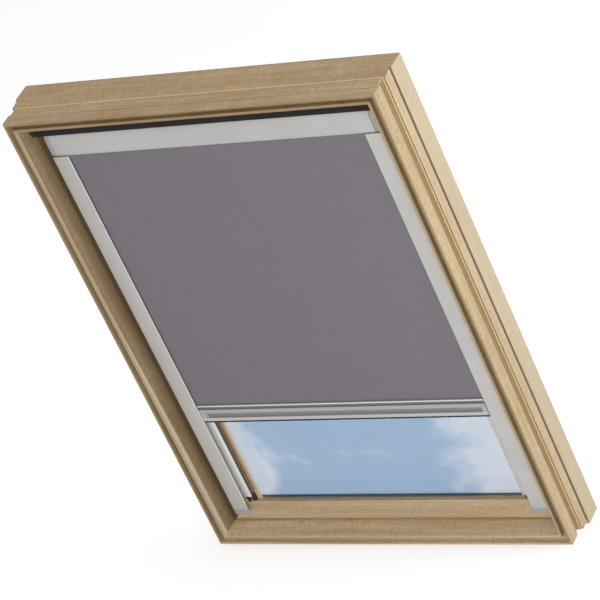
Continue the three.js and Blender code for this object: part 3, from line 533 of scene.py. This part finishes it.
def barSkin(name, base):
    shader = Shader(name)
    shader.surface.inputs["Specular IOR Level"].default_value = barTones["shine"]
    colour, lines = dieLined(shader, "X", base, clouded=False)
    drop = shader.less(barHigh.z, shader.parts()["Z"])
    depth = shader.less(shader.parts()["Y"], barLow.y)
    sizes = barTones["groove"]
    groove = shader.within(drop, sizes["drop"], sizes["soft"])
    groove = shader.times(groove, shader.rising(depth, sizes["depth"]))
    colour = shader.mix(shader.level(groove, (0.0, sizes["share"])), colour, barTones["grooveTone"])
    chin = shader.level(drop, (0.0, barTones["chinShare"]), barTones["chin"])
    bright = shader.plus(shader.falling(drop, barTones["bead"]), chin)
    colour = shader.mix(bright, colour, barTones["brightTone"])
    sizes = barTones["recess"]
    recess = shader.level(drop, sizes["shares"], sizes["drop"])
    recess = shader.times(recess, shader.rising(depth, sizes["depth"]))
    colour = shader.mix(recess, colour, barTones["recessTone"])
    return shader.finish(colour, shader.level(lines, satin["roughness"]), satin["metallic"])


plastic = {
    "spark": {"scale": 2600, "detail": 2},
    "clouds": {"scale": 30},
    "span": (0.3, 0.7),
    "shares": (0.0, 0.5),
    "darker": 0.8,
    "bump": {"strength": 0.25, "distance": 0.00015},
}


def moulded(name, base, roughness):
    shader = Shader(name)
    spark = shader.noise(shader.place, **plastic["spark"])
    clouds = shader.noise(shader.place, **plastic["clouds"])
    share = shader.level(clouds, plastic["shares"], plastic["span"])
    colour = shader.mix(share, base, tinted(base, plastic["darker"]))
    shader.bump(spark, **plastic["bump"])
    return shader.finish(colour, shader.level(spark, roughness))


zinc = {
    "stretch": 0.02,
    "brushed": {"scale": 1500, "roughness": 0.6},
    "spangle": {"scale": 90, "detail": 2},
    "span": (0.35, 0.7),
    "tones": (displayColour(150, 152, 154), displayColour(188, 189, 190)),
    "bump": {"strength": 0.15, "distance": 0.0001},
    "roughness": (0.28, 0.45),
    "metallic": 0.9,
}


def zincPlate(name):
    shader = Shader(name)
    brushed = shader.noise(shader.along("Z", zinc["stretch"]), **zinc["brushed"])
    spangle = shader.noise(shader.place, **zinc["spangle"])
    colour = shader.ramp(spangle, zinc["span"], *zinc["tones"])
    shader.bump(brushed, **zinc["bump"])
    return shader.finish(colour, shader.level(brushed, zinc["roughness"]), zinc["metallic"])


sheetPaint = {
    "peel": {"scale": 700, "detail": 2},
    "clouds": {"scale": 6, "roughness": 0.55},
    "span": (0.3, 0.7),
    "shares": (0.0, 0.5),
    "lighter": 1.35,
    "bump": {"strength": 0.18, "distance": 0.0002},
    "roughness": (0.4, 0.52),
    "metallic": 0.25,
}


def paintedSheet(name, base):
    shader = Shader(name)
    peel = shader.noise(shader.place, **sheetPaint["peel"])
    clouds = shader.noise(shader.place, **sheetPaint["clouds"])
    share = shader.level(clouds, sheetPaint["shares"], sheetPaint["span"])
    colour = shader.mix(share, base, tinted(base, sheetPaint["lighter"]))
    shader.bump(peel, **sheetPaint["bump"])
    return shader.finish(colour, shader.level(clouds, sheetPaint["roughness"]), sheetPaint["metallic"])


# The gasket's lip is near black, deepened with painted shade, and its flank, further in, is painted
# the brown of wood in shade.
gasket = {
    "stretch": 0.01,
    "ridge": {"scale": 420, "detail": 2},
    "grain": {"scale": 1800, "detail": 2},
    "span": (0.35, 0.7),
    "lip": (displayColour(24, 22, 20), displayColour(58, 50, 43)),
    "flank": (displayColour(100, 84, 66), displayColour(134, 114, 92)),
    "flankInset": (0.0876, 0.0882),
    "bump": {"strength": 0.3, "distance": 0.0002},
    "roughness": (0.7, 0.9),
}


def rubberSeal(name):
    shader = Shader(name)
    grain = shader.noise(shader.place, **gasket["grain"])
    ridge = shader.noise(shader.along("Z", gasket["stretch"]), **gasket["ridge"])
    lip = shader.ramp(ridge, gasket["span"], *gasket["lip"])
    flank = shader.ramp(ridge, gasket["span"], *gasket["flank"])
    inset = sectionPlace(shader)[0]
    colour = shader.mix(shader.rising(inset, gasket["flankInset"]), lip, flank)
    shader.bump(grain, **gasket["bump"])
    return shader.finish(colour, shader.level(grain, gasket["roughness"]))


pile = {
    "stretch": 0.05,
    "strands": {"scale": 900, "detail": 2},
    "span": (0.3, 0.75),
    "tones": (displayColour(8, 8, 10), displayColour(34, 33, 37)),
    "roughness": 0.85,
}


def bristlePile(name):
    shader = Shader(name)
    strands = shader.noise(shader.along("Z", pile["stretch"]), **pile["strands"])
    return shader.finish(shader.ramp(strands, pile["span"], *pile["tones"]), pile["roughness"])


# Blackout cloth: a plain weave of fine yarns, slubs and a faint mottle.
weaving = {
    "warp": {"axis": "X", "scale": 620, "distortion": 0.6, "detail": 1},
    "weft": {"axis": "Z", "scale": 560, "distortion": 0.6, "detail": 1},
    "weaveShares": (0.0, 0.35),
    "slubStretch": 0.12,
    "slubs": {"scale": 420, "roughness": 0.6},
    "slubShares": (0.0, 0.22),
    "slubSpan": (0.4, 0.75),
    "yarnStretch": 0.1,
    "yarns": {"scale": 520, "detail": 2, "roughness": 0.55},
    "yarnShares": (0.0, 0.18),
    "yarnSpan": (0.45, 0.75),
    "yarnTone": displayColour(150, 145, 151),
    "mottle": {"scale": 5},
    "mottleShares": (0.0, 0.25),
    "mottleSpan": (0.35, 0.7),
    "bump": {"strength": 0.4, "distance": 0.00025},
    "sheen": 0.12,
    "sheenRoughness": 0.5,
    "roughness": (0.82, 0.95),
}


def wovenCloth(name, pale, dark):
    shader = Shader(name)
    weave = shader.times(shader.bands(**weaving["warp"]), shader.bands(**weaving["weft"]))
    slubs = shader.noise(shader.along("X", weaving["slubStretch"]), **weaving["slubs"])
    yarns = shader.noise(shader.along("Z", weaving["yarnStretch"]), **weaving["yarns"])
    mottle = shader.noise(shader.place, **weaving["mottle"])
    colour = shader.mix(shader.level(weave, weaving["weaveShares"]), pale, dark)
    colour = shader.mix(shader.level(slubs, weaving["slubShares"], weaving["slubSpan"]), colour, dark)
    yarnShare = shader.level(yarns, weaving["yarnShares"], weaving["yarnSpan"])
    colour = shader.mix(yarnShare, colour, weaving["yarnTone"])
    mottleShare = shader.level(mottle, weaving["mottleShares"], weaving["mottleSpan"])
    colour = shader.mix(mottleShare, colour, pale)
    shader.bump(weave, **weaving["bump"])
    shader.surface.inputs["Sheen Weight"].default_value = weaving["sheen"]
    shader.surface.inputs["Sheen Roughness"].default_value = weaving["sheenRoughness"]
    return shader.finish(colour, shader.level(slubs, weaving["roughness"]))


# Clear glass with a painted sky reflection: a blue tint, a pale bank of cloud on each side and a
# little drift between them. The banks' inner edges sway with height.
skyTint = {
    "swayPlace": (0, 0, 0.3),
    "sway": {"scale": 3.4, "detail": 1},
    "swaySpan": (0.35, 0.65),
    "swayReach": (-0.16, 0.16),
    "swayHeights": (0.3, 0.5),
    "driftScale": (1.0, 1, 1.5),
    "driftPlace": (0.35, 0, 0.12),
    "drift": {"scale": 7, "detail": 4, "roughness": 0.55, "distortion": 0.5},
    "driftSpan": (0.3, 0.7),
    "driftReach": (-0.55, 0.55),
    "leftBank": (-0.27, -0.20),
    "rightBank": (0.13, 0.23),
    "coverSpan": (0.35, 0.95),
    "refraction": 1.46,
    "haze": {"scale": 60, "detail": 2},
    "roughness": (0.0, 0.03),
}


def clearPane(name, deep, pale):
    shader = Shader(name)
    place = shader.parts()
    sway = shader.noise(shader.mapped((0, 0, 1), skyTint["swayPlace"]), **skyTint["sway"])
    sway = shader.level(sway, skyTint["swayReach"], skyTint["swaySpan"])
    sway = shader.times(sway, shader.rising(place["Z"], skyTint["swayHeights"]))
    x = shader.plus(place["X"], sway)
    drift = shader.noise(shader.mapped(skyTint["driftScale"], skyTint["driftPlace"]), **skyTint["drift"])
    banks = shader.larger(shader.falling(x, skyTint["leftBank"]), shader.rising(x, skyTint["rightBank"]))
    cover = shader.plus(shader.level(drift, skyTint["driftReach"], skyTint["driftSpan"]), banks)
    colour = shader.mix(shader.rising(cover, skyTint["coverSpan"]), deep, pale)
    shader.surface.inputs["Transmission Weight"].default_value = 1.0
    shader.surface.inputs["IOR"].default_value = skyTint["refraction"]
    haze = shader.noise(shader.place, **skyTint["haze"])
    return shader.finish(colour, shader.level(haze, skyTint["roughness"]))


palePine = displayColour(188, 163, 126)
darkPine = displayColour(166, 137, 97)
warmPale = displayColour(224, 199, 162)
warmDark = displayColour(206, 175, 134)
# The sill's pine is a paler copy of the frame's: painted light on its upward-facing top.
sillPale = displayColour(240, 217, 178)
sillDark = displayColour(220, 192, 150)
looks = {
    "pineAcross": pine("pineAcross", "X", palePine, darkPine, shift=0.31, tones=frameTones),
    "pineSill": pine("pineSill", "X", sillPale, sillDark, shift=0.52, tones=frameTones),
    "pineUp": pine("pineUp", "Z", palePine, darkPine, shift=0.77, tones=jambTones),
    "sashAcross": pine("sashAcross", "X", warmPale, warmDark, shift=1.43, tones=sashTones),
    "sashUp": pine("sashUp", "Z", warmPale, warmDark, shift=2.19, tones=sashTones),
    "railAcross": extruded("railAcross", "X", displayColour(198, 197, 195), **satin),
    "barSkin": barSkin("barSkin", displayColour(186, 185, 183)),
    "channelSkin": channelSkin("channelSkin", displayColour(202, 200, 197)),
    # The control bar's anthracite is darkened almost to black: painted shade under the head's lip.
    "anthracite": extruded("anthracite", "X", displayColour(34, 32, 30), **powderCoat),
    "spacerMetal": extruded("spacerMetal", "Z", displayColour(190, 190, 188), **millFinish),
    "lightPlastic": moulded("lightPlastic", displayColour(186, 186, 186), roughness=(0.45, 0.6)),
    "darkPlastic": moulded("darkPlastic", displayColour(34, 34, 36), roughness=(0.5, 0.65)),
    "zinc": zincPlate("zinc"),
    "coverPaint": paintedSheet("coverPaint", displayColour(88, 82, 74)),
    "seal": rubberSeal("seal"),
    "sealant": moulded("sealant", displayColour(228, 216, 208), roughness=(0.5, 0.65)),
    "pile": bristlePile("pile"),
    "cloth": wovenCloth("cloth", displayColour(138, 132, 140), displayColour(112, 106, 113)),
    "tape": moulded("tape", displayColour(52, 48, 52), roughness=(0.7, 0.85)),
    # The panes' blue and cloud tones are a painted sky reflection.
    "innerGlass": clearPane("innerGlass", displayColour(172, 191, 213), displayColour(218, 221, 229)),
    "outerGlass": clearPane("outerGlass", displayColour(216, 228, 238), displayColour(226, 232, 238)),
}
print("materials made")

# The look of each CAD node, by how its name starts. The first start that fits counts.
lookOfNode = {
    "frame_head": "pineAcross",
    "frame_sill": "pineSill",
    "frame_jamb": "pineUp",
    "frame_cover": "coverPaint",
    "sash_cover": "coverPaint",
    "sash_top_rail": "sashAcross",
    "sash_bottom_rail": "sashAcross",
    "sash_stile": "sashUp",
    "sash_gasket": "seal",
    "pivot": "zinc",
    "striker_plate": "zinc",
    "lock_case": "zinc",
    "inner_pane": "innerGlass",
    "outer_pane": "outerGlass",
    "glass_spacer": "spacerMetal",
    "control_bar_hinge": "zinc",
    "control_bar_cap": "darkPlastic",
    "control_bar": "anthracite",
    "side_channel": "channelSkin",
    "channel_cap": "lightPlastic",
    "track_clip": "darkPlastic",
    "cassette_cap": "lightPlastic",
    "cassette": "railAcross",
    "spring_shaft": "zinc",
    "roller_plug": "lightPlastic",
    "roller": "zinc",
    "bottom_bar": "barSkin",
    "bar_glider": "lightPlastic",
}
edgeOfLook = {
    "pineAcross": 0.0006,
    "pineSill": 0.0006,
    "pineUp": 0.0006,
    "sashAcross": 0.0008,
    "sashUp": 0.0008,
    "lightPlastic": 0.0006,
    "darkPlastic": 0.0004,
    "anthracite": 0.0003,
    "railAcross": 0.00025,
    "channelSkin": 0.00025,
    "barSkin": 0.00025,
}
softEdge = {"weld": 0.00001, "segments": 2, "angle": math.radians(25)}


def roundEdges(piece, width):
    weld = piece.modifiers.new("joinCorners", "WELD")
    weld.merge_threshold = softEdge["weld"]
    bevel = piece.modifiers.new("softEdges", "BEVEL")
    bevel.width = width
    bevel.segments = softEdge["segments"]
    bevel.limit_method = "ANGLE"
    bevel.angle_limit = softEdge["angle"]


for nodeName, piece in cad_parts.items():
    key = next((start for start in lookOfNode if nodeName.startswith(start)), None)
    if key is None:
        continue
    look = lookOfNode[key]
    piece.data.materials.clear()
    piece.data.materials.append(looks[look])
    if look in edgeOfLook:
        roundEdges(piece, edgeOfLook[look])
print("frame dressed")


def addPiece(name, mesh, body, look, replaced=()):
    piece = bpy.data.objects.new(name, mesh)
    bpy.context.scene.collection.objects.link(piece)
    piece.data.materials.append(looks[look])
    if body:
        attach(piece, body)
    if replaced:
        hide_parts(*replaced)
    return piece


def meshFrom(build, name):
    bmesh.ops.recalc_face_normals(build, faces=build.faces[:])
    mesh = bpy.data.meshes.new(name)
    build.to_mesh(mesh)
    build.free()
    return mesh


# Closes a body behind the faces made so far. Its new corners, which it returns, still lie on the
# old ones.
def doubleFaces(build):
    grown = bmesh.ops.extrude_face_region(build, geom=build.faces[:])["geom"]
    return [item for item in grown if isinstance(item, bmesh.types.BMVert)]


def profileMesh(name, outline, way):
    build = bmesh.new()
    build.faces.new([build.verts.new(point) for point in outline])
    bmesh.ops.translate(build, verts=doubleFaces(build), vec=way)
    return meshFrom(build, name)


# The cloth between the roll and the bar: one sheet with dark tape along both edges. It comes off
# the roll slanting, bends at the cassette's mouth and runs straight down.
cloth = {
    "thickness": 0.0004,
    "tapeWidth": 0.0065,
    "columns": 64,
    "slantRows": 6,
    "rows": 96,
    "sideInset": 0.0003,
    "lowInset": 0.0003,
    "topInset": 0.0002,
    "runInset": 0.00025,
    "rollInset": 0.0004,
    "mouthRise": 0.0016,
    "faceLean": 0.5,
    "startAbove": 0.04,
}
clothTop = fabricHigh.z
mouthHeight = mouthLow.z + cloth["mouthRise"]
runDepth = fabricLow.y + cloth["runInset"]
topDepth = fabricHigh.y - cloth["rollInset"]


def clothLine():
    top = Vector((0, topDepth, clothTop - cloth["topInset"]))
    bend = Vector((0, runDepth, mouthHeight))
    low = Vector((0, runDepth, fabricLow.z + cloth["lowInset"]))
    points = [top.lerp(bend, step / cloth["slantRows"]) for step in range(cloth["slantRows"])]
    return points + [bend.lerp(low, step / cloth["rows"]) for step in range(cloth["rows"] + 1)]


def clothMesh():
    build = bmesh.new()
    line = clothLine()
    outer = fabricHigh.x - cloth["sideInset"]
    tape = fabricHigh.x - cloth["tapeWidth"]
    columns = cloth["columns"]
    across = [-outer] + [tape * (2 * step / columns - 1) for step in range(columns + 1)] + [outer]
    bmesh.ops.create_grid(build, x_segments=len(across) - 1, y_segments=len(line) - 1, size=1)
    for index, corner in enumerate(build.verts):
        row, column = divmod(index, len(across))
        corner.co = (across[column], line[row].y - cloth["thickness"] / 2, line[row].z)
    bmesh.ops.translate(build, verts=doubleFaces(build), vec=(0, cloth["thickness"], 0))
    build.normal_update()
    for face in build.faces:
        face.smooth = abs(face.normal.y) > cloth["faceLean"]
        face.material_index = 1 if face.smooth and abs(face.calc_center_median().x) > tape else 0
    return meshFrom(build, "blindCloth")


clothPiece = addPiece("blindCloth", clothMesh(), None, "cloth", ["blind_fabric"])
clothPiece.data.materials.append(looks["tape"])
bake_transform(clothPiece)
print("cloth made")

# The cloth wound on the tube: a spiral of several turns.
roll = {
    "turns": 4,
    "steps": 36,
    "thickness": 0.00034,
    "outerInset": 0.0001,
    "tubeGap": 0.0003,
    "endInset": 0.0002,
    "firstAngle": -0.4,
}


def rollMesh():
    centre = (rollLow + rollHigh) / 2
    outer = (rollHigh.y - rollLow.y) / 2 - roll["outerInset"]
    inner = (tubeHigh.y - tubeLow.y) / 2 + roll["tubeGap"]
    pitch = (outer - inner - roll["thickness"]) / roll["turns"]
    low = rollLow.x + roll["endInset"]
    high = rollHigh.x - roll["endInset"]

    def spiral(start):
        points = []
        for index in range(roll["turns"] * roll["steps"] + 1):
            turns = index / roll["steps"]
            angle = 2 * math.pi * turns + roll["firstAngle"]
            radius = start + pitch * turns
            points.append((low, centre.y + radius * math.cos(angle), centre.z + radius * math.sin(angle)))
        return points

    outline = spiral(inner + roll["thickness"]) + spiral(inner)[::-1]
    return profileMesh("woundCloth", outline, (high - low, 0, 0))


addPiece("woundCloth", rollMesh(), "roller", "cloth", ["fabric_roll"])
print("roll made")

# The brush under the bar: a backing strip with uneven bristles all over it.
brush = {
    "backing": 0.0009,
    "bristles": 6400,
    "sides": 3,
    "radius": 0.00024,
    "tipShare": 0.6,
    "spacing": (0.2, 0.8),
    "rowShares": (0.0, 0.9),
    "rowsDeep": 0.0028,
    "frontInset": 0.0003,
    "endInset": 0.0008,
    "rooted": 0.0002,
    "tipsUneven": 0.0004,
    "leanAlong": 0.0002,
    "leanAcross": 0.000125,
    "seed": 41,
}


def brushMesh():
    draw = random.Random(brush["seed"])
    build = bmesh.new()
    owner = build.verts.layers.int.new("bristle")
    length = brushHigh.x - brushLow.x - 2 * brush["endInset"]
    seat = brushHigh.z - brush["backing"] + brush["rooted"]
    turns = [2 * math.pi * side / brush["sides"] for side in range(brush["sides"])]
    section = [brush["radius"] * Vector((math.cos(turn), math.sin(turn), 0)) for turn in turns]
    roots = []
    tips = []
    for index in range(brush["bristles"]):
        share = (index + draw.uniform(*brush["spacing"])) / brush["bristles"]
        x = brushLow.x + brush["endInset"] + share * length
        y = brushLow.y + brush["frontInset"] + draw.uniform(*brush["rowShares"]) * brush["rowsDeep"]
        tip = Vector((x, y, brushLow.z + draw.uniform(0.0, brush["tipsUneven"])))
        lean = Vector((draw.gauss(0, brush["leanAlong"]), draw.gauss(0, brush["leanAcross"]), 0))
        roots.append(Vector((x, y, seat)))
        tips.append(tip + lean)
        corners = [build.verts.new(roots[index] + offset) for offset in section]
        for corner in corners:
            corner[owner] = index
        build.faces.new(corners)
    for corner in doubleFaces(build):
        index = corner[owner]
        corner.co = tips[index] + brush["tipShare"] * (corner.co - roots[index])
    build.verts.layers.int.remove(owner)
    size = Vector((*(brushHigh - brushLow).xy, brush["backing"]))
    centre = Vector((*((brushLow + brushHigh) / 2).xy, brushHigh.z - brush["backing"] / 2))
    bmesh.ops.create_cube(build, size=1, matrix=Matrix.LocRotScale(centre, None, size))
    return meshFrom(build, "barBrush")


addPiece("barBrush", brushMesh(), "blind_bar", "pile", ["brush_seal"])
print("brush made")

# A light sealant bead along each stile where it meets the glass.
bead = {
    "inset": 0.0975,
    "width": 0.0034,
    "rise": 0.0013,
    "back": 0.0003,
    "lift": 0.0002,
    "below": 0.0014,
}


def beadMesh(name, side):
    edge = side * (lipBox["halfWidth"] - bead["inset"])
    inner = edge - side * bead["width"]
    back = paneLow.y - bead["back"]
    low = railHigh.z - bead["below"]
    corners = [(edge, back - bead["rise"]), (edge, back), (inner, back), (inner, back - bead["lift"])]
    return profileMesh(name, [(x, y, low) for x, y in corners], (0, 0, topRailLow.z - low))


for side, beadName in ((-1, "glassBeadLeft"), (1, "glassBeadRight")):
    addPiece(beadName, beadMesh(beadName, side), "sash", "sealant")
print("beads made")

# Stage: a pale floor that glows only where it is seen, the world, the lamps and the camera.
stage = {"span": 14, "drop": 0.0008, "floorTone": 0.6, "floorGlow": 0.68, "ambient": 0.25, "seen": 1.0}


def floorMesh():
    build = bmesh.new()
    below = Matrix.Translation((0, 0, -stage["drop"]))
    bmesh.ops.create_grid(build, x_segments=1, y_segments=1, size=stage["span"], matrix=below)
    mesh = bpy.data.meshes.new("floor")
    build.to_mesh(mesh)
    build.free()
    return mesh


def seenRays(nodes, links):
    path = nodes.new("ShaderNodeLightPath")
    seen = path.outputs["Is Camera Ray"]
    for kind in ("Is Glossy Ray", "Is Transmission Ray"):
        larger = nodes.new("ShaderNodeMath")
        larger.operation = "MAXIMUM"
        links.new(seen, larger.inputs[0])
        links.new(path.outputs[kind], larger.inputs[1])
        seen = larger.outputs["Value"]
    return seen


def floorMaterial():
    material = bpy.data.materials.new("paleFloor")
    material.use_nodes = True
    nodes = material.node_tree.nodes
    links = material.node_tree.links
    nodes.clear()
    output = nodes.new("ShaderNodeOutputMaterial")
    diffuse = nodes.new("ShaderNodeBsdfDiffuse")
    diffuse.inputs["Color"].default_value = grey(stage["floorTone"])
    glow = nodes.new("ShaderNodeEmission")
    glow.inputs["Color"].default_value = grey(1.0)
    strength = nodes.new("ShaderNodeMath")
    strength.operation = "MULTIPLY"
    strength.inputs[1].default_value = stage["floorGlow"]
    links.new(seenRays(nodes, links), strength.inputs[0])
    links.new(strength.outputs["Value"], glow.inputs["Strength"])
    both = nodes.new("ShaderNodeAddShader")
    links.new(diffuse.outputs["BSDF"], both.inputs[0])
    links.new(glow.outputs["Emission"], both.inputs[1])
    links.new(both.outputs["Shader"], output.inputs["Surface"])
    return material


floor = bpy.data.objects.new("floor", floorMesh())
bpy.context.scene.collection.objects.link(floor)
floor.data.materials.append(floorMaterial())


def lightWorld():
    world = bpy.data.worlds.new("studio")
    bpy.context.scene.world = world
    world.use_nodes = True
    nodes = world.node_tree.nodes
    links = world.node_tree.links
    nodes.clear()
    choose = nodes.new("ShaderNodeMixShader")
    links.new(seenRays(nodes, links), choose.inputs["Fac"])
    for socket, strength in ((1, stage["ambient"]), (2, stage["seen"])):
        light = nodes.new("ShaderNodeBackground")
        light.inputs["Color"].default_value = grey(1.0)
        light.inputs["Strength"].default_value = strength
        links.new(light.outputs["Background"], choose.inputs[socket])
    output = nodes.new("ShaderNodeOutputWorld")
    links.new(choose.outputs["Shader"], output.inputs["Surface"])


lightWorld()

middle = Vector((0, 0, 0.52))
lamps = {
    "sideLamp": {"place": (4.4, 1.2, 1.7), "size": 2.4, "power": 151},
    "frontLamp": {"place": (2.4, -3.8, 1.9), "size": 2.2, "power": 104},
    "topLamp": {"place": (0.4, 0.6, 4.6), "size": 2.6, "power": 49},
}


def addLamp(name, place, size, power):
    light = bpy.data.lights.new(name, "AREA")
    light.shape = "RECTANGLE"
    light.size = size
    light.size_y = size
    light.energy = power
    lamp = bpy.data.objects.new(name, light)
    bpy.context.scene.collection.objects.link(lamp)
    lamp.location = place
    lamp.rotation_euler = (middle - Vector(place)).to_track_quat("-Z", "Y").to_euler()


for lampName, lampSizes in lamps.items():
    addLamp(lampName, **lampSizes)

# The camera's place and axes as fitted to the frame's corners.
view = {
    "lens": 196.18,
    "sensor": 36,
    "place": (3.1245, -3.9151, 3.7122),
    "right": (0.84893, 0.38263, -0.36458),
    "up": (0.03776, 0.64416, 0.76396),
    "back": (0.52716, -0.66231, 0.53240),
}
cameraData = bpy.data.cameras.new("camera")
cameraData.lens = view["lens"]
cameraData.sensor_width = view["sensor"]
camera = bpy.data.objects.new("camera", cameraData)
bpy.context.scene.collection.objects.link(camera)
axes = Matrix((view["right"], view["up"], view["back"])).transposed()
camera.matrix_world = Matrix.Translation(view["place"]) @ axes.to_4x4()
bpy.context.scene.camera = camera
bpy.context.scene.view_settings.view_transform = "Standard"
print("stage set")
